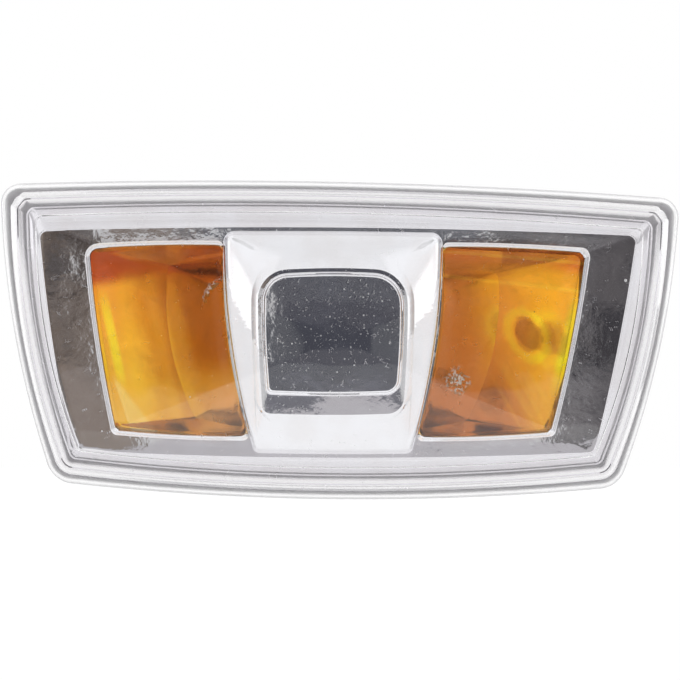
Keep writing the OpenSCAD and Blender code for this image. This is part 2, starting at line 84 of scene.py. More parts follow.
def outline(corners, radii, bows, arcSteps=10, edgeSteps=24):
    steers = [steer(corners, bows, i) for i in range(4)]
    ends = []
    for i in range(4):
        wayIn = unit(corners[i] - steers[i - 1])
        wayOut = unit(steers[i] - corners[i])
        turn = wayIn.angle(wayOut)
        reach = radii[i] * math.tan(turn / 2)
        ends.append((corners[i] - wayIn * reach, corners[i] + wayOut * reach, wayIn, turn))
    points = []
    for i in range(4):
        first, last, way, turn = ends[i]
        middle = first + Vector((-way.y, way.x)) * radii[i]
        for k in range(arcSteps + 1):
            a = turn * k / arcSteps
            outward = Vector((way.y, -way.x)) * math.cos(a)
            points.append(middle + (outward + way * math.sin(a)) * radii[i])
        after = ends[(i + 1) % 4][0]
        points += [bezier(last, steers[i], after, k / edgeSteps) for k in range(1, edgeSteps)]
    return points


def shrunk(radii, d, least=0.8):
    return [max(r - d, least) for r in radii]


lens = {
    "length": 96.2,  # over the two top corners
    "height": 41.4,
    "footLeft": 7.5,
    "footRight": 8.7,
    "topFall": 2.1,
    "footFall": 0.8,
    "bows": (2.0, 1.5, 1.3, 1.5),
    "radii": (4.0, 4.0, 2.8, 2.8),
    "wall": 1.8,
    "shoulderWidth": 4.8,
    "shoulderHeight": 5.4,
    "draft": 0.7,
    "crown": 1.3,
    "edgeHeight": 10.4,  # of the face, where the shoulder ends
    "rimHeight": 0.5,
    "landHeight": 3.5,
    "weldGap": 0.02,
    "ribInset": 3.2,
    "lineDepth": 0.16,
    "lineAt": (5, 9, 12),  # steps of the shoulder that have a moulded line
}
lensCorners = [
    Vector((-lens["length"] / 2 + lens["footLeft"], (lens["footFall"] - lens["height"]) / 2)),
    Vector((lens["length"] / 2 - lens["footRight"], (-lens["footFall"] - lens["height"]) / 2)),
    Vector((lens["length"] / 2, (lens["height"] - lens["topFall"]) / 2)),
    Vector((-lens["length"] / 2, (lens["height"] + lens["topFall"]) / 2)),
]


def lensOutline(d):
    least = min(d) if isinstance(d, (list, tuple)) else d
    return outline(inset(lensCorners, d), shrunk(lens["radii"], least), lens["bows"])


def atHeight(points, h):
    return [onLamp(p.x, p.y, h) for p in points]


# A mesh starts as a loop of edges, which is extruded from ring to ring
def startLoop(bm, points):
    verts = [bm.verts.new(p) for p in points]
    return verts, [bm.edges.new((v, verts[(i + 1) % len(verts)])) for i, v in enumerate(verts)]


def growTo(bm, loop, points, flat=False):
    verts, edges = loop
    grown = bmesh.ops.extrude_edge_only(bm, edges=edges)["geom"]
    for part in grown:
        if isinstance(part, bmesh.types.BMFace):
            part.material_index = 1 if flat else 0
    fresh = {tuple(v.co): v for v in grown if isinstance(v, bmesh.types.BMVert)}
    moved = [fresh[tuple(v.co)] for v in verts]
    for v, p in zip(moved, points):
        v.co = p
    return moved, [bm.edges.get((v, moved[(i + 1) % len(moved)])) for i, v in enumerate(moved)]


def growAlong(bm, loop, rings):
    for ring in rings:
        loop = growTo(bm, loop, ring)
    return loop


def capLoops(bm, *loops, flat=True):
    if len(loops) == 1:
        faces = bmesh.ops.contextual_create(bm, geom=loops[0][1])["faces"]
    else:
        edges = [e for loop in loops for e in loop[1]]
        made = bmesh.ops.triangle_fill(bm, use_beauty=True, use_dissolve=False, edges=edges)["geom"]
        faces = [f for f in made if isinstance(f, bmesh.types.BMFace)]
    for face in faces:
        face.material_index = 1 if flat else 0  # a flat face keeps its own normal


def finishPiece(name, bm, body, nodes, material, sharpAngle=32):
    bmesh.ops.remove_doubles(bm, verts=bm.verts, dist=1e-7)
    bmesh.ops.recalc_face_normals(bm, faces=bm.faces)
    for edge in bm.edges:
        if len(edge.link_faces) == 2:
            one, two = edge.link_faces
            gentle = edge.calc_face_angle() < math.radians(sharpAngle)
            edge.smooth = gentle and one.material_index == two.material_index
    for face in bm.faces:
        face.smooth = True
        face.material_index = 0
    mesh = bpy.data.meshes.new(name)
    bm.to_mesh(mesh)
    bm.free()
    piece = bpy.data.objects.new(name, mesh)
    scene.collection.objects.link(piece)
    mesh.materials.append(material)
    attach(piece, body)
    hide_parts(*nodes)
    return piece


# Shader maths written as expressions
class Wire:
    def __init__(self, sheet, out):
        self.sheet, self.out = sheet, out

    def maths(self, operation, *others):
        return self.sheet.add("ShaderNodeMath", {"operation": operation}, self, *others)

    def __add__(self, other):
        return self.maths("ADD", other)

    __radd__ = __add__

    def __sub__(self, other):
        return self.maths("SUBTRACT", other)

    def __rsub__(self, other):
        return self.sheet.add("ShaderNodeMath", {"operation": "SUBTRACT"}, other, self)

    def __mul__(self, other):
        return self.maths("MULTIPLY", other)

    __rmul__ = __mul__

    def __gt__(self, other):
        return self.maths("GREATER_THAN", other)

    def __lt__(self, other):
        return self.maths("LESS_THAN", other)

    def pick(self, name):
        return Wire(self.sheet, self.out.node.outputs[name])

    def size(self):
        return self.maths("ABSOLUTE")

    def larger(self, other):
        return self.maths("MAXIMUM", other)

    def clamped(self):
        return self.sheet.add("ShaderNodeClamp", {}, self)


class Sheet:
    def __init__(self, tree):
        self.tree = tree
        tree.nodes.clear()

    def add(self, kind, settings, *inputs, **named):
        node = self.tree.nodes.new(kind)
        for key, value in settings.items():
            setattr(node, key, value)
        for i, value in enumerate(inputs):
            self.plug(node.inputs[i], value)
        for key, value in named.items():
            self.plug(node.inputs[key], value)
        return Wire(self, node.outputs[0]) if node.outputs else None

    def named(self, kind, settings, inputs):
        return self.add(kind, settings, **inputs)

    def plug(self, socket, value):
        if isinstance(value, Wire):
            self.tree.links.new(value.out, socket)
        elif value is not None:
            bareColour = socket.type == "RGBA" and len(value) == 3
            socket.default_value = (*value, 1) if bareColour else value

    def mixColour(self, factor, a, b):
        node = self.tree.nodes.new("ShaderNodeMix")
        node.data_type = "RGBA"
        self.plug(node.inputs[0], factor)
        self.plug(node.inputs[6], a)
        self.plug(node.inputs[7], b)
        return Wire(self, node.outputs[2])

    def place(self):
        return self.add("ShaderNodeTexCoord", {}).pick("Object")

    def onFace(self):  # millimetres along the lamp and up it
        parts = self.add("ShaderNodeSeparateXYZ", {}, self.place())
        return parts * 1000.0, parts.pick("Z") * 1000.0

    def fade(self, value, start, end):  # 0 at start, 1 at end
        smooth = {"interpolation_type": "SMOOTHSTEP"}
        return self.add("ShaderNodeMapRange", smooth, value, start, end, 0.0, 1.0)

    def cells(self, scale, feature="F1", place=None):
        inputs = {"Vector": place or self.place(), "Scale": scale}
        return self.named("ShaderNodeTexVoronoi", {"feature": feature}, inputs)

    def specks(self, scale, size, chance):
        dots = self.cells(scale)
        lot = self.add("ShaderNodeSeparateColor", {}, dots.pick("Color"))
        return (dots.pick("Distance") < size) * (lot > 1.0 - chance)

    def scratches(self, scale, width, chance):
        wander = self.noise(420, 2.0).pick("Color")
        bend = self.add("ShaderNodeVectorMath", {"operation": "SCALE"}, wander, None, None, 0.004)
        bent = self.add("ShaderNodeVectorMath", {"operation": "ADD"}, self.place(), bend)
        lines = self.cells(scale, "DISTANCE_TO_EDGE", bent).pick("Distance") < width
        return lines * (self.noise(scale * 1.3, 2.0) > 1.0 - chance)

    def facingFront(self):  # 1 on faces that look straight out of the lamp
        return self.lookingOut() < -0.985

    def noise(self, scale, detail=3.0, roughness=0.5, place=None):
        return self.named("ShaderNodeTexNoise", {}, {
            "Vector": place or self.place(), "Scale": scale, "Detail": detail, "Roughness": roughness})

    def stretched(self, x, y, z):
        return self.named("ShaderNodeMapping", {}, {"Vector": self.place(), "Scale": (x, y, z)})

    def bump(self, height, strength, distance):
        inputs = {"Height": height, "Strength": strength, "Distance": distance}
        return self.named("ShaderNodeBump", {}, inputs)

    def awayFrom(self, x, y):  # distance from the zero of two lengths on the face
        point = self.add("ShaderNodeCombineXYZ", {}, x, y, 0.0)
        return self.add("ShaderNodeVectorMath", {"operation": "LENGTH"}, point).pick("Value")

    def lookingOut(self):  # how far a face looks along the lamp's depth, from -1 to 1
        normal = self.add("ShaderNodeTexCoord", {}).pick("Normal")
        return self.add("ShaderNodeSeparateXYZ", {}, normal).pick("Y")


def newMaterial(name, paint):
    material = bpy.data.materials.new(name)
    material.use_nodes = True
    sheet = Sheet(material.node_tree)
    surface = paint(sheet)
    out = material.node_tree.nodes.new("ShaderNodeOutputMaterial")
    material.node_tree.links.new(surface.out, out.inputs["Surface"])
    return material


def clearPlastic(s):
    wave = s.noise(70, 2.0)
    worn = s.specks(800, 0.08, 0.03).larger(s.scratches(500, 0.014, 0.33))
    edge = s.fade(s.lookingOut().size(), 0.99, 0.93)  # painted shade: the colour turns greyer where the face turns away from the front, round the edge
    return s.named("ShaderNodeBsdfPrincipled", {}, {
        "Base Color": s.mixColour(edge, (0.985, 0.986, 0.992), (0.87, 0.858, 0.873)),
        "Roughness": 0.012 + 0.3 * worn + 0.09 * edge, "IOR": 1.49,
        "Transmission Weight": 1.0, "Normal": s.bump(wave, 0.12, 0.0006)})


def brightChrome(s):
    swell = s.noise(45, 2.0)
    grain = s.noise(900, 2.0)
    haze = s.noise(160, 4.0)
    x, y = s.onFace()
    thick = s.fade(s.noise(90, 3.0) - 0.2 * s.fade(x.size(), 10.0, 16.0), 0.4, 0.52)
    fine = s.specks(1500, 0.17, 0.12).larger(s.scratches(1700, 0.035, 0.37)) * thick
    dust = s.specks(420, 0.09, 0.22).larger(fine) * s.facingFront()
    bare = s.mixColour(s.fade(haze, 0.35, 0.7), (0.9, 0.9, 0.92), (0.86, 0.85, 0.86))
    return s.named("ShaderNodeBsdfPrincipled", {}, {
        "Base Color": s.mixColour(dust, bare, (1.0, 1.0, 1.0)),
        "Metallic": 1.0 - 0.9 * dust, "Roughness": 0.012 + 0.035 * haze + 0.5 * dust,
        "Normal": s.bump(swell + 0.03 * grain, 0.25, 0.0005)})


def throughFilter(red, green, blue):  # the light that is seen has passed the filter twice
    return tuple(min(1.0, part / 0.68) ** 0.5 for part in (red, green, blue))


amberDyeAndPaintedLight = {  # the amber's colour together with the bowl's light and shade behind it, painted as they are seen, in linear colours
    "gold": throughFilter(0.78, 0.42, 0.035),
    "deepGold": throughFilter(0.56, 0.2, 0.015),
    "brown": throughFilter(0.3, 0.075, 0.004),
    "red": throughFilter(0.31, 0.045, 0.008),
    "orange": throughFilter(0.52, 0.11, 0.015),
    "ember": throughFilter(0.7, 0.16, 0.02),
    "yellow": throughFilter(1.0, 0.68, 0.015),
    "pale": throughFilter(0.68, 0.52, 0.32),
    "milky": throughFilter(0.62, 0.3, 0.12),
    "rust": throughFilter(0.4, 0.13, 0.025),
    "rustBrown": throughFilter(0.34, 0.09, 0.012),
    "rustAmber": throughFilter(0.66, 0.29, 0.014),
    "hollow": throughFilter(0.2, 0.06, 0.008),
}


def leftAmber(s, x, y, flow):
    lean = x + 0.13 * y
    warp = 3.0 * (flow - 0.5)
    dyeAndPaintedLight = s.mixColour(s.fade(flow, 0.3, 0.72), amberDyeAndPaintedLight["gold"], amberDyeAndPaintedLight["deepGold"])
    side = s.fade(lean + 0.5 * warp, -32.4, -34.6)  # redder beside the end
    dyeAndPaintedLight = s.mixColour(0.75 * side * s.fade(y, -4.0, 5.0), dyeAndPaintedLight, amberDyeAndPaintedLight["orange"])
    dark = s.fade(x + 0.19 * y + warp, -25.5, -23.0)  # painted shade: brown towards the bridge
    dark = dark * (0.55 + 0.45 * s.fade(y, -8.0, -2.0))
    dyeAndPaintedLight = s.mixColour(dark, dyeAndPaintedLight, amberDyeAndPaintedLight["brown"])
    # a paler, milky-looking patch low beside the bridge, and a golden line of painted highlight where the
    # painted brown shade starts
    glow = s.fade(y - 0.5 * x + 2.0 * warp, 4.0, -3.0) * s.fade(x, -24.0, -17.0)
    dyeAndPaintedLight = s.mixColour(0.6 * glow, dyeAndPaintedLight, amberDyeAndPaintedLight["milky"])
    rim = (x + 0.19 * y + warp + 25.4).size()
    dyeAndPaintedLight = s.mixColour(0.5 * s.fade(rim, 1.1, 0.2) * s.fade(y, 9.0, 2.0), dyeAndPaintedLight, amberDyeAndPaintedLight["gold"])
    # painted shade: a red band along the top, with a thin bright line of painted highlight in it
    band = s.fade(y - 0.13 * x + 1.2 * warp, 11.6, 13.4) * s.fade(y, 13.9, 12.4)
    dyeAndPaintedLight = s.mixColour(0.95 * band, dyeAndPaintedLight, amberDyeAndPaintedLight["red"])
    ember = (y - 0.16 * x - 14.2 + 0.4 * warp).size()
    ember = s.fade(ember, 0.42, 0.1) * s.fade(x, -24.0, -20.0)
    dyeAndPaintedLight = s.mixColour(0.7 * ember, dyeAndPaintedLight, amberDyeAndPaintedLight["ember"])
    # painted highlights: a bright streak down the outer side, and a pale wedge at its foot
    streak = (x + 0.2 * y + 31.9 + 0.3 * warp).size()
    length = s.fade(y, 7.5, 3.0) * s.fade(y, -8.5, -2.5)
    dyeAndPaintedLight = s.mixColour(s.fade(streak, 0.95, 0.25) * length, dyeAndPaintedLight, amberDyeAndPaintedLight["yellow"])
    wedge = s.fade(x + 0.33 * y + 33.7, -0.15, 0.15) * s.fade(x + 0.78 * y + 36.0 - 0.2 * warp, 0.5, -0.5)
    return s.mixColour(0.85 * wedge * s.fade(y, -4.0, -7.0), dyeAndPaintedLight, amberDyeAndPaintedLight["pale"])


def rightAmber(s, x, y, flow):
    warp = 3.0 * (flow - 0.5)
    # painted shade: darker rust towards the bridge, paler amber towards the outer side
    pale = s.fade(x + 0.25 * y + 1.5 * warp, 19.5, 25.0)
    dyeAndPaintedLight = s.mixColour(pale, amberDyeAndPaintedLight["rust"], amberDyeAndPaintedLight["rustAmber"])
    dyeAndPaintedLight = s.mixColour(0.45 * s.fade(flow, 0.4, 0.75), dyeAndPaintedLight, amberDyeAndPaintedLight["rustBrown"])
    # golden rays that fan out downwards
    fan = s.add("ShaderNodeCombineXYZ", {}, (x + 0.55 * y) * 1.1, y * 0.08, 0.0)
    rays = s.fade(s.noise(0.9, 2.0, 0.5, fan), 0.5, 0.72) * s.fade(x, 19.0, 25.0) * s.fade(y, 0.0, -4.0)
    dyeAndPaintedLight = s.mixColour(0.5 * rays, dyeAndPaintedLight, amberDyeAndPaintedLight["gold"])
    # painted shade: an orange band along the top, with two golden lines of painted highlight
    band = s.fade(y + 0.11 * x + 0.9 * warp, 12.0, 14.0)
    dyeAndPaintedLight = s.mixColour(0.8 * band, dyeAndPaintedLight, amberDyeAndPaintedLight["orange"])
    lines = s.fade((y + 0.08 * x - 13.2).size(), 0.35, 0.1)
    lines = lines.larger(s.fade((y + 0.12 * x - 10.6 + 0.3 * warp).size(), 0.4, 0.1))
    dyeAndPaintedLight = s.mixColour(0.5 * lines, dyeAndPaintedLight, amberDyeAndPaintedLight["gold"])
    # painted highlight: a yellow outer side; and a ragged yellow loop round a brown hollow
    edge = (x - 0.24 * y - 32.1 + 0.4 * warp).size()
    glow = s.fade(edge, 1.5, 0.3) * s.fade(y, 7.5, 2.5) * s.fade(y, -9.5, -3.5)
    dyeAndPaintedLight = s.mixColour(glow, dyeAndPaintedLight, amberDyeAndPaintedLight["yellow"])
    ragged = 1.6 * (s.noise(420, 3.0) - 0.5)
    away = s.awayFrom(x - 26.4 + 0.25 * y + warp, 0.8 * y - 0.3) + ragged
    loop = s.fade((away - 2.6).size(), 0.8, 0.2)
    dyeAndPaintedLight = s.mixColour(0.55 * loop, dyeAndPaintedLight, amberDyeAndPaintedLight["yellow"])
    return s.mixColour(s.fade(away, 2.0, 1.6), dyeAndPaintedLight, amberDyeAndPaintedLight["hollow"])


def scuffs(s, x, y):  # a curved scratch on the left, a scuffed patch on the right
    torn = s.fade(s.noise(1300, 3.0), 0.44, 0.56)
    away = s.awayFrom(x + 14.4, y - 4.2)
    arc = s.fade((away - 5.1 + 0.5 * torn).size(), 0.34, 0.06)
    arc = arc * s.fade(x, -15.2, -16.2) * s.fade(y, 4.6, 5.6)
    spark = s.fade(s.noise(2300, 3.0), 0.5, 0.56)
    patch = s.fade((x - 0.9 * y - 22.0).size(), 2.9, 1.0)
    patch = patch * s.fade((x + 0.9 * y - 11.0).size(), 2.8, 1.0)
    return (arc * (0.25 + 0.75 * torn)).larger(patch * spark)


def amberPlastic(s):
    x, y = s.onFace()
    flow = s.noise(75, 3.0, 0.55, s.stretched(1.0, 1.0, 0.45))
    # base colour: the amber's own colour with the bowl's light and shade painted in
    dyeAndPaintedLight = s.mixColour(s.fade(x, -2.0, 0.0), leftAmber(s, x, y, flow), rightAmber(s, x, y, flow))
    clean = s.named("ShaderNodeBsdfPrincipled", {}, {
        "Base Color": dyeAndPaintedLight, "Roughness": 0.02 + 0.04 * flow, "IOR": 1.25,
        "Transmission Weight": 1.0, "Normal": s.bump(flow, 0.3, 0.0008)})
    chalk = s.named("ShaderNodeBsdfPrincipled", {}, {
        "Base Color": s.mixColour(flow, (1.0, 0.96, 0.9), (0.9, 0.82, 0.72)), "Roughness": 0.7})
    worn = s.specks(620, 0.07, 0.07).larger(scuffs(s, x, y))
    return s.add("ShaderNodeMixShader", {}, 0.8 * worn, clean, chalk)


def metallisedBowl(s):
    swell = s.noise(120, 3.0)
    return s.named("ShaderNodeBsdfPrincipled", {}, {
        "Base Color": s.mixColour(s.fade(swell, 0.3, 0.7), (0.98, 0.98, 0.98), (0.95, 0.95, 0.94)),
        "Metallic": 1.0, "Roughness": 0.14 + 0.12 * swell,
        "Normal": s.bump(swell, 0.5, 0.0006)})


def mouldedPlastic(colour, rough, scale=1400.0, strength=0.25):
    def paint(s):
        grain = s.noise(scale, 3.0)
        cloud = s.noise(90, 3.0)
        dark = tuple(c * 0.88 for c in colour)
        return s.named("ShaderNodeBsdfPrincipled", {}, {
            "Base Color": s.mixColour(cloud, colour, dark), "Roughness": rough + 0.12 * (cloud - 0.5),
            "Normal": s.bump(grain, strength, 0.00012)})
    return paint


def foamRing(s):
    cells = s.named("ShaderNodeTexVoronoi", {"feature": "F1"}, {"Vector": s.place(), "Scale": 2400.0})
    return s.named("ShaderNodeBsdfPrincipled", {}, {
        "Base Color": s.mixColour(cells, (0.035, 0.035, 0.038), (0.07, 0.07, 0.075)), "Roughness": 0.92,
        "Normal": s.bump(cells, 0.8, 0.0003)})


def metal(colour, rough, scale):
    def paint(s):
        lines = s.noise(scale, 3.0, 0.6, s.stretched(1.0, 0.08, 1.0))
        return s.named("ShaderNodeBsdfPrincipled", {}, {
            "Base Color": s.mixColour(lines, colour, tuple(c * 0.75 for c in colour)), "Metallic": 1.0,
            "Roughness": rough + 0.15 * lines, "Normal": s.bump(lines, 0.15, 0.0001)})
    return paint


def thinGlass(s):
    smear = s.noise(180, 3.0)
    return s.named("ShaderNodeBsdfPrincipled", {}, {
        "Base Color": (0.97, 0.985, 0.98), "Roughness": 0.01 + 0.03 * smear, "IOR": 1.5,
        "Transmission Weight": 1.0, "Normal": s.bump(smear, 0.05, 0.0003)})


finishes = {
    "clear": newMaterial("clearPlastic", clearPlastic),
    "chrome": newMaterial("brightChrome", brightChrome),
    "amber": newMaterial("amberPlastic", amberPlastic),
    "bowl": newMaterial("metallisedBowl", metallisedBowl),
    "housing": newMaterial("housingPlastic", mouldedPlastic((0.7, 0.69, 0.715), 0.42)),
    "foam": newMaterial("foamRing", foamRing),
    "holder": newMaterial("holderPlastic", mouldedPlastic((0.035, 0.035, 0.038), 0.5)),
    "seal": newMaterial("sealRubber", mouldedPlastic((0.06, 0.06, 0.065), 0.75, 2200.0, 0.4)),
    "contacts": newMaterial("contactMetal", metal((0.78, 0.66, 0.4), 0.22, 1600.0)),
    "glass": newMaterial("bulbGlass", thinGlass),
    "wire": newMaterial("leadWire", metal((0.6, 0.6, 0.62), 0.3, 2200.0)),
    "filament": newMaterial("filamentWire", metal((0.35, 0.35, 0.37), 0.35, 3000.0)),
}
for nodeName, finish in {
    "housing": "housing", "panel_gasket": "foam", "bulb_holder": "holder", "holder_seal": "seal",
    "contact_left": "contacts", "contact_right": "contacts",
    "bulb_lead_left": "wire", "bulb_lead_right": "wire",
}.items():
    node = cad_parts[nodeName]
    node.data.materials.clear()
    node.data.materials.append(finishes[finish])
print("stage: materials")


# Outer lens
faceRings = [0.06, 0.2, 0.34, 0.48, 0.6, 0.7, 0.79, 0.87, 0.94]
faceEdge = lensOutline(lens["draft"] + lens["shoulderWidth"])
faceMiddle = sum(faceEdge, Vector((0, 0))) / len(faceEdge)


def crownRing(s, edgeHeight):
    points = [faceMiddle + (p - faceMiddle) * s for p in faceEdge]
    return atHeight(points, edgeHeight + lens["crown"] * (1 - s * s))


def shoulderRing(wall, a):
    across = lens["draft"] + lens["shoulderWidth"] - (lens["shoulderWidth"] - wall) * math.cos(a)
    up = lens["edgeHeight"] - lens["shoulderHeight"] + (lens["shoulderHeight"] - wall) * math.sin(a)
    return atHeight(lensOutline(across), up)


def shoulderLine(a):  # a thin moulded line on the inner side
    groove = lens["lineDepth"]
    low, high = shoulderRing(lens["wall"], a), shoulderRing(lens["wall"] - groove, a + 0.03)
    return [shoulderRing(lens["wall"], a + 0.06), high, low]


def makeLens():
    bm = bmesh.new()
    inner = lens["edgeHeight"] - lens["wall"]
    land = lens["landHeight"] + lens["weldGap"]
    turns = [math.radians(90 * k / 14) for k in range(15)]
    loop = startLoop(bm, crownRing(faceRings[0], inner))
    capLoops(bm, loop, flat=False)
    rings = [crownRing(s, inner) for s in faceRings[1:]]
    for k in range(14, -1, -1):
        rings.append(shoulderRing(lens["wall"], turns[k]))
        if k in lens["lineAt"]:
            rings += shoulderLine(turns[k - 1] + 0.02)
    rings += [
        atHeight(lensOutline(lens["ribInset"] - 0.15), land + 1.15),
        atHeight(lensOutline(lens["ribInset"]), land + 0.9),
        atHeight(lensOutline(lens["ribInset"]), land + 0.1),
        atHeight(lensOutline(lens["ribInset"] - 0.1), land),
        atHeight(lensOutline(lens["wall"] + 0.1), land),
        atHeight(lensOutline(lens["wall"]), land - 0.1),
        atHeight(lensOutline(lens["wall"]), lens["rimHeight"] + 0.3),
        atHeight(lensOutline(lens["wall"] - 0.3), lens["rimHeight"]),
        atHeight(lensOutline(0.4), lens["rimHeight"]),
        atHeight(lensOutline(0.12), lens["rimHeight"] + 0.12),
        atHeight(lensOutline(0), lens["rimHeight"] + 0.4),
    ]
    rings += [shoulderRing(0, a) for a in turns]
    rings += [crownRing(s, lens["edgeHeight"]) for s in reversed(faceRings)]
    capLoops(bm, growAlong(bm, loop, rings), flat=False)
    return finishPiece("lensCover", bm, "lamp_body", ["outer_lens"], finishes["clear"])


# Chrome bezel with its bridge
bezel = {
    "seat": 2.6,
    "back": 4.8,
    "face": 6.2,
    "edgeInset": 3.5,
    "wall": 1.4,
    "cornersIn": ((2.9, 4.6), (-3.7, 5.1), (-6.5, -5.4), (5.9, -6.8)),  # from the lens's to the face's
    "bows": (0.9, 0.4, 0.8, 0.4),  # foot, right, top, left, as all outlines here
    "landEnd": 5.9,
    "landAbove": 1.8,
    "landBelow": 2.2,
    "windowBevel": 0.7,
    "besideBridge": 0.35,  # share of the bevel that the windows have beside the bridge
    "bridgeIn": 0.5,
    "middle": -1.0,
    "topWidth": 30.8,
    "footWidth": 22.0,
    "footStep": 1.2,
    "bridgeBow": 1.1,
    "bridgeRise": 2.1,
    "blockWidth": 20.9,
    "blockHeight": 19.8,
    "blockUp": -0.6,
    "blockTaper": 0.6,
    "ledgeSide": 0.5,
    "ledgeFoot": 2.6,
    "panelRise": 0.7,
    "faceRadii": (1.0, 1.0, 1.0, 1.0),
    "leftRadii": (1.0, 0.8, 0.8, 1.8),
    "rightRadii": (0.8, 1.0, 1.2, 0.8),
    "bridgeRadii": (1.0, 1.0, 1.6, 1.6),
    "blockRadii": (1.2, 2.4, 4.8, 4.2),
    "panelRadii": (0.9, 2.2, 4.4, 3.8),
    "windowBow": 0.2,
    "bridgeEndBow": 0.1,
    "blockBows": (0.2, 0.2, 0.3, 0.2),
    "hollowIn": 1.6,
    "bridgeWall": 1.2,
}
# Each step of a profile is how far in, then how far up or down
edgeProfile = ((-0.4, 0.5), (-0.22, 0.34), (-0.12, 0.1), (-0.05, 0.02), (0, 0))  # down from the face
bevelProfile = ((0.15, 0.05), (0.85, 0.45), (1.0, 0.6))  # shares of the bevel, down from the face
bridgeProfile = (  # up from the face
    (0.06, 0.2), ((0.5, 0.3, 0.3, 0.3), 0.5), ((1.2, 0.5, 0.55, 0.5), 0.68),
    ((1.7, 0.8, 0.8, 0.8), 0.8), ((2.15, 0.86, 0.86, 0.86), 0.815))
blockProfile = (  # down from the ledge
    ((-1.6, -1.0, -2.6, -1.0), 0.62), ((-1.2, -0.8, -2.3, -0.8), 0.52),
    ((-0.35, -0.3, -0.4, -0.3), 0.08), (0.0, 0))
panelFootProfile = ((0.08, 0.3), (0.22, 0.42), (0.34, 0.42))  # up from the ledge
panelEdgeProfile = ((0.42, 0.12), (0.5, 0.03), (0.6, 0))  # down from the panel
faceCorners = [corner + Vector(step) for corner, step in zip(lensCorners, bezel["cornersIn"])]
lands = (bezel["landBelow"], bezel["landEnd"], bezel["landAbove"], bezel["landEnd"])
windowCorners = inset(faceCorners, lands)


def edgeAt(corners, i, x):
    p, q = corners[i], corners[(i + 1) % 4]
    return bezier(p, steer(corners, bezel["bows"], i), q, (p.x - x) / (p.x - q.x))


def besideBridge(corners, side, top, extra=0.0):
    width = bezel["topWidth"] if top else bezel["footWidth"] + extra
    return edgeAt(corners, 2 if top else 0, bezel["middle"] + side * width / 2)


bridgeRoom = inset(faceCorners, bezel["bridgeIn"])
fourWays = ((-1, False), (1, False), (1, True), (-1, True))
bridgeCorners = [besideBridge(bridgeRoom, side, top) for side, top in fourWays]
halfW, halfH = bezel["blockWidth"] / 2, bezel["blockHeight"] / 2
blockCorners = [Vector((bezel["middle"] + x, bezel["blockUp"] + y)) for x, y in (
    (-halfW + bezel["blockTaper"], -halfH), (halfW - bezel["blockTaper"], -halfH),
    (halfW, halfH), (-halfW, halfH))]
raisedCorners = inset(blockCorners, (bezel["ledgeFoot"], *[bezel["ledgeSide"]] * 3))
step = bezel["footStep"]
leftCorners = [windowCorners[0], besideBridge(windowCorners, -1, False, step),
               besideBridge(windowCorners, -1, True), windowCorners[3]]
rightCorners = [besideBridge(windowCorners, 1, False, step), windowCorners[1],
                windowCorners[2], besideBridge(windowCorners, 1, True)]
bow, endBow = bezel["bridgeBow"], bezel["bows"][1]


def faceOutline(d):
    return outline(inset(faceCorners, d), shrunk(bezel["faceRadii"], d), bezel["bows"])


def bridgeOutline(d):
    radii = shrunk(bezel["bridgeRadii"], min(d) if isinstance(d, tuple) else d, 0.5)
    return outline(inset(bridgeCorners, d), radii, (bezel["bridgeEndBow"], bow) * 2)


def blockOutline(d):
    radii = shrunk(bezel["blockRadii"], min(d) if isinstance(d, tuple) else d, 0.6)
    return outline(inset(blockCorners, d), radii, bezel["blockBows"])


def raisedOutline(d):
    return outline(inset(raisedCorners, d), shrunk(bezel["panelRadii"], d, 0.6), bezel["blockBows"])


def windowOutline(side, d):
    near = d * bezel["besideBridge"]
    along = bezel["windowBow"]
    if side < 0:
        corners = inset(leftCorners, (d, near, d, d))
        return outline(corners, shrunk(bezel["leftRadii"], d), (along, -bow, along, endBow))
    corners = inset(rightCorners, (d, d, d, near))
    return outline(corners, shrunk(bezel["rightRadii"], d), (along, endBow, along, -bow))


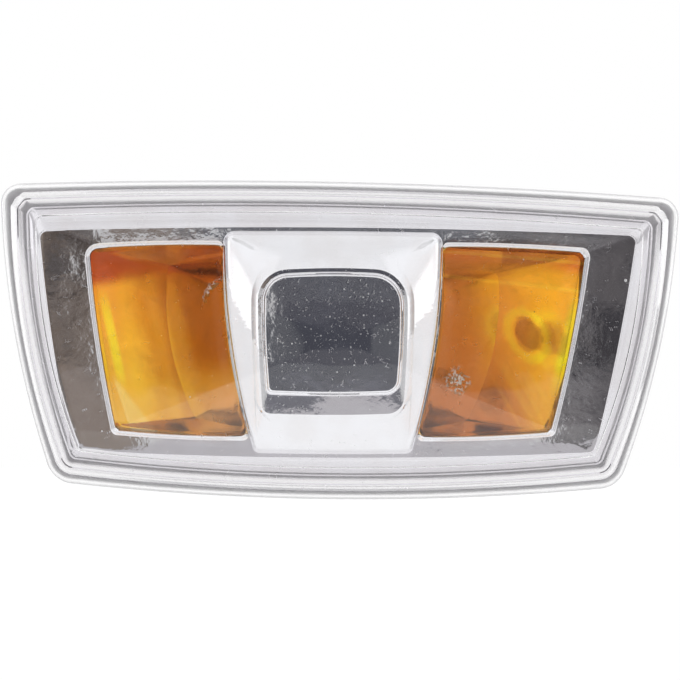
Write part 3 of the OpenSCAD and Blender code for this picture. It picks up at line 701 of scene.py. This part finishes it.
def makeBezel():
    bm = bmesh.new()
    face, back = bezel["face"], bezel["back"]
    # outer side, up to the flat face
    skirtFoot = startLoop(bm, atHeight(lensOutline(bezel["edgeInset"]), bezel["seat"]))
    faceEdgeLoop = growAlong(bm, skirtFoot, [
        atHeight(lensOutline(bezel["edgeInset"]), back - 0.15),
        atHeight(lensOutline(bezel["edgeInset"] + 0.15), back + 0.05),
        *[atHeight(faceOutline(across), face - down) for across, down in edgeProfile]])
    # windows
    bevel = bezel["windowBevel"]
    windowFronts, windowBacks = [], []
    for side in (-1, 1):
        front = startLoop(bm, atHeight(windowOutline(side, 0), face))
        windowFronts.append(front)
        rings = [atHeight(windowOutline(side, bevel * share), face - down) for share, down in bevelProfile]
        windowBacks.append(growAlong(bm, front, [*rings, atHeight(windowOutline(side, bevel), back)]))
    # bridge: rounded foot, sloping sides, the ledge and the raised panel
    bridgeFoot = startLoop(bm, atHeight(bridgeOutline(0.0), face))
    block = face + bezel["bridgeRise"]
    panel = block + bezel["panelRise"]
    sides = growAlong(bm, bridgeFoot, [atHeight(bridgeOutline(d), face + up) for d, up in bridgeProfile])
    sides = growAlong(bm, sides, [atHeight(blockOutline(d), block - down) for d, down in blockProfile])
    ledge = growTo(bm, sides, atHeight(raisedOutline(0.0), block + 0.01), flat=True)
    top = growAlong(bm, ledge, [atHeight(raisedOutline(d), block + up) for d, up in panelFootProfile])
    top = growAlong(bm, top, [atHeight(raisedOutline(d), panel - down) for d, down in panelEdgeProfile])
    capLoops(bm, top)
    capLoops(bm, faceEdgeLoop, windowFronts[0], windowFronts[1], bridgeFoot)
    # back: the hollow under the bridge, and the inner side of the skirt
    hollow = startLoop(bm, atHeight(bridgeOutline(bezel["hollowIn"]), back))
    capLoops(bm, growAlong(bm, hollow, [
        atHeight(blockOutline(0.25 * bezel["hollowIn"]), block - bezel["bridgeWall"]),
        atHeight(raisedOutline(bezel["hollowIn"]), panel - bezel["bridgeWall"])]))
    inner = lensOutline(bezel["edgeInset"] + bezel["wall"])
    innerFoot = growTo(bm, skirtFoot, atHeight(inner, bezel["seat"]))
    innerTop = growTo(bm, innerFoot, atHeight(inner, back))
    capLoops(bm, innerTop, windowBacks[0], windowBacks[1], hollow)
    return finishPiece("chromeBezel", bm, "lamp_body", ["chrome_bezel"],
                       finishes["chrome"], sharpAngle=40)


# Amber filter
amber = {
    "back": 3.6,
    "front": 4.8,
    "edgeInset": 5.2,
    "rise": 0.7,
    "crown": 0.5,
    "play": 0.15,
}
padProfile = (  # in from the pad's side, and share of its crown
    (0.1, -0.2), (0.3, 0.0), (0.8, 0.25), (1.8, 0.55), (3.2, 0.8), (5.0, 0.95), (6.6, 1.0))


def makeAmber():
    bm = bmesh.new()
    rim = startLoop(bm, atHeight(lensOutline(amber["edgeInset"]), amber["back"]))
    capLoops(bm, rim)
    rimFront = growTo(bm, rim, atHeight(lensOutline(amber["edgeInset"]), amber["front"]))
    padIn = bezel["windowBevel"] + amber["play"] / bezel["besideBridge"]
    up = amber["front"] + amber["rise"]
    feet = []
    for side in (-1, 1):
        foot = startLoop(bm, atHeight(windowOutline(side, padIn), amber["front"]))
        feet.append(foot)
        rings = [atHeight(windowOutline(side, padIn), up - 0.25)]
        for across, share in padProfile:
            rings.append(atHeight(windowOutline(side, padIn + across), up + amber["crown"] * share))
        capLoops(bm, growAlong(bm, foot, rings), flat=False)
    capLoops(bm, rimFront, *feet)
    return finishPiece("amberFilter", bm, "lamp_body", ["amber_filter"], finishes["amber"])


# Reflector bowl
bowl = {
    "seat": 2.6,
    "lip": 3.58,
    "plateInset": 5.2,
    "floor": -2.1,
    "wall": 0.5,
    "holeRadius": 6.4,
    "crown": 2.8,  # rise of the floor towards the bulb's hole, which brightens the windows
    "insets": (8.3, 12.4, 8.8, 8.8),
    "taper": (1.2, 10.5, 2.4, 12.5),
    "curve": 1.05,
    "lipHeight": 1.2,
}


def bowlOutline(out, share):
    return lensOutline([d + t * share - out for d, t in zip(bowl["insets"], bowl["taper"])])


def bowlRings(out):  # from the bulb's hole to the foot of the lip
    middle = Vector((bezel["middle"], 0))
    edge = bowlOutline(out, 1.0)
    hole = [middle + unit(p - middle) * bowl["holeRadius"] for p in edge]
    rings = []
    for t in (0.0, 0.2, 0.4, 0.6, 0.8):
        points = [a.lerp(b, t) for a, b in zip(hole, edge)]
        rings.append(atHeight(points, bowl["floor"] + bowl["crown"] * (1 - t) - out))
    rise = bowl["lip"] - bowl["lipHeight"] - bowl["floor"]
    for k in range(10):
        share = k / 10
        height = bowl["floor"] + rise * share ** bowl["curve"] - out * (1 - share)
        rings.append(atHeight(bowlOutline(out, 1 - share), height))
    return rings


def makeReflector():
    bm = bmesh.new()
    holeFront = startLoop(bm, bowlRings(0.0)[0])
    front = growAlong(bm, holeFront, bowlRings(0.0)[1:] + [
        atHeight(bowlOutline(0.0, 0.0), bowl["lip"] - bowl["lipHeight"]),
        atHeight(bowlOutline(0.0, 0.0), bowl["lip"])])
    wall = bowl["wall"]
    growAlong(bm, holeFront, bowlRings(wall) + [
        atHeight(bowlOutline(wall, 0.0), bowl["lip"] - bowl["lipHeight"] - wall * 0.8),
        atHeight(bowlOutline(wall, 0.0), bowl["seat"]),
        atHeight(lensOutline(bowl["plateInset"]), bowl["seat"]),
        atHeight(lensOutline(bowl["plateInset"]), bowl["lip"]),
        [v.co.copy() for v in front[0]]])
    return finishPiece("reflectorBowl", bm, "lamp_body", ["reflector"],
                       finishes["bowl"], sharpAngle=18)


# Bulb
bulb = {
    "radius": 5.0,
    "top": 2.6,
    "wall": 0.6,
    "glassFoot": -16.7,
    "foot": -24.2,
    "wedge": (9.5, 2.1),  # width and thickness
}


def spun(bm, points, centre):
    verts = [bm.verts.new(centre + Vector((r * mm, -h * mm, 0))) for r, h in points]
    edges = [bm.edges.new(pair) for pair in zip(verts, verts[1:])]
    bmesh.ops.spin(bm, geom=verts + edges, cent=centre, axis=(0, 1, 0), angle=2 * math.pi, steps=48,
                   use_merge=True)


def makeBulb():
    bm = bmesh.new()
    axis = Vector((bezel["middle"] * mm, 0, 0))
    r, w, top, foot = bulb["radius"], bulb["wall"], bulb["top"], bulb["glassFoot"]
    dome = [math.radians(90 * k / 12) for k in range(13)]
    outer = [(0.0, foot), (r - 0.4, foot), (r, foot + 0.5)]
    outer += [(r * math.cos(a), top - r + r * math.sin(a)) for a in dome[:-1]] + [(0.0, top)]
    spun(bm, outer, axis)
    q = r - w
    inner = [(0.0, foot + w), (q - 0.4, foot + w), (q, foot + w + 0.5)]
    inner += [(q * math.cos(a), top - r + q * math.sin(a)) for a in dome[:-1]] + [(0.0, top - w)]
    spun(bm, inner, axis)
    width, depth = bulb["wedge"]
    half = width / 2
    apart = 0.01  # the halves and the glass don't share a face
    tall = foot - 2 * apart - bulb["foot"]
    for side in (-1, 1):
        across = bezel["middle"] + side * (half / 2 + apart)
        for v in bmesh.ops.create_cube(bm, size=1.0)["verts"]:
            h = v.co.z * tall - (bulb["foot"] + tall / 2)
            v.co = Vector((v.co.x * half + across, h, v.co.y * depth)) * mm
    return finishPiece("bulbGlass", bm, "bulb_unit", ["bulb_glass"], finishes["glass"])


# Filament
filament = {
    "height": -6.7,
    "start": -4.2,
    "length": 6.4,
    "turns": 20,
    "coilRadius": 0.22,
    "wireRadius": 0.07,
    "stepsPerTurn": 12,
    "wireSides": 8,
}


def makeFilament():
    bm = bmesh.new()
    start = onLamp(filament["start"], 0, filament["height"])
    ring = bmesh.ops.create_circle(
        bm, segments=filament["wireSides"], radius=filament["wireRadius"] * mm)["verts"]
    for v in ring:
        v.co = start + Vector((0, filament["coilRadius"] * mm + v.co.x, v.co.y))
    edges = list({e for v in ring for e in v.link_edges})
    steps = filament["turns"] * filament["stepsPerTurn"]
    bmesh.ops.spin(bm, geom=ring + edges, cent=start, axis=(1, 0, 0), angle=2 * math.pi * filament["turns"],
                   dvec=(filament["length"] * mm / steps, 0, 0), steps=steps)
    bmesh.ops.holes_fill(bm, edges=bm.edges, sides=filament["wireSides"])
    return finishPiece("filamentCoil", bm, "bulb_unit", ["bulb_filament"], finishes["filament"])


makeLens()
makeBezel()
makeAmber()
makeReflector()
makeBulb()
makeFilament()
print("stage: pieces")


# Studio
studio = {
    "floorDrop": 0.075,
    "floorSide": 5.0,
    "distance": 0.8,
    "focal": 300.0,
    "tentFront": (1.12, 1.12, 1.12),
    "tentBand": (1.45, 1.45, 1.45),  # beside the dark screen, and what the bowl shows through the windows
    "tentSide": (0.6, 0.595, 0.605),
    "tentTop": (1.0, 1.0, 1.0),
    "tentFoot": (0.95, 0.95, 0.95),
    "screenLeft": (0.23, 0.18, 0.145),
    "screenMiddle": (0.065, 0.067, 0.082),
    "screenRight": (0.13, 0.12, 0.122),
    "screenDeep": (0.022, 0.021, 0.026),  # the darkest patches
    "screenGap": (0.6, 0.6, 0.6),
    "screenLedge": (0.11, 0.11, 0.135),
    "screenFoot": (0.5, 0.48, 0.5),
    "screenSize": (0.6, 0.8),
    "screenAway": 1.0,
}
tentFades = {  # where each part of the tent starts and is full, by direction
    "bandSideways": (0.42, 0.55),
    "bandUp": (0.18, 0.08),
    "side": (0.73, 0.9),
    "topUp": (0.25, 0.5),
    "topSideways": (0.3, 0.15),
    "foot": (-0.1, -0.6),
}
screenFades = {  # the same for the cards, in metres on the screen
    "left": (-0.06, -0.04),
    "right": (0.04, 0.06),
    "deepSideways": (0.04, 0.06),
    "middle": (0.033, 0.028),
    "ends": (0.0695, 0.0745),
    "top": (0.0275, 0.0305),
    "ledge": (-0.0168, -0.0185),
    "footRise": (0.05, 0.085),
    "foot": (-0.028, -0.032),
    "rimSideways": (0.2, 0.29),
    "rimUp": (0.27, 0.35),
}


def lightTent():
    world = bpy.data.worlds.new("lightTent")
    world.use_nodes = True
    scene.world = world
    s = Sheet(world.node_tree)
    way = s.add("ShaderNodeTexCoord", {}).pick("Generated")
    parts = s.add("ShaderNodeSeparateXYZ", {}, way)
    sideways = parts.size()
    up = parts.pick("Z")
    band = s.fade(sideways, *tentFades["bandSideways"]) * s.fade(up.size(), *tentFades["bandUp"])
    colour = s.mixColour(band, studio["tentFront"], studio["tentBand"])
    colour = s.mixColour(s.fade(sideways, *tentFades["side"]), colour, studio["tentSide"])
    top = s.fade(up, *tentFades["topUp"]) * s.fade(sideways, *tentFades["topSideways"])
    colour = s.mixColour(top, colour, studio["tentTop"])
    colour = s.mixColour(s.fade(up, *tentFades["foot"]), colour, studio["tentFoot"])
    seen = s.add("ShaderNodeLightPath", {}).pick("Is Camera Ray")
    light = s.add("ShaderNodeBackground", {}, s.mixColour(seen, colour, (1.0, 1.0, 1.0)), 1.0)
    out = world.node_tree.nodes.new("ShaderNodeOutputWorld")
    world.node_tree.links.new(light.out, out.inputs["Surface"])


def paleFloor(s):
    path = s.add("ShaderNodeLightPath", {})
    mirrored = path.pick("Is Glossy Ray") + path.pick("Is Transmission Ray")
    seen = (path.pick("Is Camera Ray") + mirrored).clamped()
    glow = s.add("ShaderNodeEmission", {}, (1.0, 1.0, 1.0), 1.04)
    matt = s.add("ShaderNodeBsdfDiffuse", {}, (0.9, 0.9, 0.9))
    return s.add("ShaderNodeMixShader", {}, 0.85 * seen, matt, glow)


def darkScreen(s):  # dark cards that the flat chrome shows, with a paler gap for each window
    parts = s.add("ShaderNodeSeparateXYZ", {}, s.place())
    across, up = parts, parts.pick("Z")
    side = across.size()
    cloud = s.noise(26, 4.0, 0.6)
    warp = 0.01 * (cloud - 0.5)
    dark = s.mixColour(s.fade(across, *screenFades["left"]), studio["screenLeft"], studio["screenMiddle"])
    dark = s.mixColour(s.fade(across, *screenFades["right"]), dark, studio["screenRight"])
    deep = s.fade(cloud, 0.58, 0.36) * s.fade(side, *screenFades["deepSideways"])
    dark = s.mixColour(0.85 * deep, dark, studio["screenDeep"])
    middle = s.fade(side + warp, *screenFades["middle"])
    card = middle.larger(s.fade(side - 0.15 * up + warp, *screenFades["ends"]))
    card = card.larger(s.fade(up, *screenFades["top"]))
    tone = s.mixColour(card, studio["screenGap"], dark)
    tone = s.mixColour(middle * s.fade(up, *screenFades["ledge"]), tone, studio["screenLedge"])
    low = up + 0.012 * s.fade(side, *screenFades["footRise"])
    tone = s.mixColour(s.fade(low, *screenFades["foot"]), tone, studio["screenFoot"])
    rim = s.fade(side, *screenFades["rimSideways"]).larger(s.fade(up.size(), *screenFades["rimUp"]))
    return s.add("ShaderNodeEmission", {}, s.mixColour(rim, tone, (0.9, 0.9, 0.9)), 1.0)


def stageCard(name, paint, across, up, offset):  # a flat card, with its sides along across and up
    bm = bmesh.new()
    bmesh.ops.create_grid(bm, x_segments=1, y_segments=1, size=0.5)
    for v in bm.verts:
        v.co = across * v.co.x + up * v.co.y + offset
    mesh = bpy.data.meshes.new(name)
    bm.to_mesh(mesh)
    bm.free()
    card = bpy.data.objects.new(name, mesh)
    mesh.materials.append(newMaterial(name, paint))
    scene.collection.objects.link(card)
    return card


def makeStage():
    side = studio["floorSide"]
    floor = stageCard("studioFloor", paleFloor, Vector((side, 0, 0)), Vector((0, side, 0)),
                      Vector((0, 0, -studio["floorDrop"])))
    width, height = studio["screenSize"]
    screen = stageCard("darkScreen", darkScreen, Vector((width, 0, 0)), Vector((0, 0, height)),
                       Vector((0, -studio["screenAway"], 0)))
    screen.visible_camera = False


def makeCamera():
    data = bpy.data.cameras.new("camera")
    data.lens = studio["focal"]
    data.clip_start, data.clip_end = 0.01, 20.0
    camera = bpy.data.objects.new("camera", data)
    camera.location = (0.0, -studio["distance"] - 0.003, -0.0003)
    camera.rotation_euler = (math.radians(90), 0, 0)
    scene.collection.objects.link(camera)
    scene.camera = camera


lightTent()
makeStage()
makeCamera()
scene.view_settings.view_transform = "Standard"
scene.cycles.max_bounces = 24
scene.cycles.glossy_bounces = 12
scene.cycles.transmission_bounces = 24
print("stage: studio")
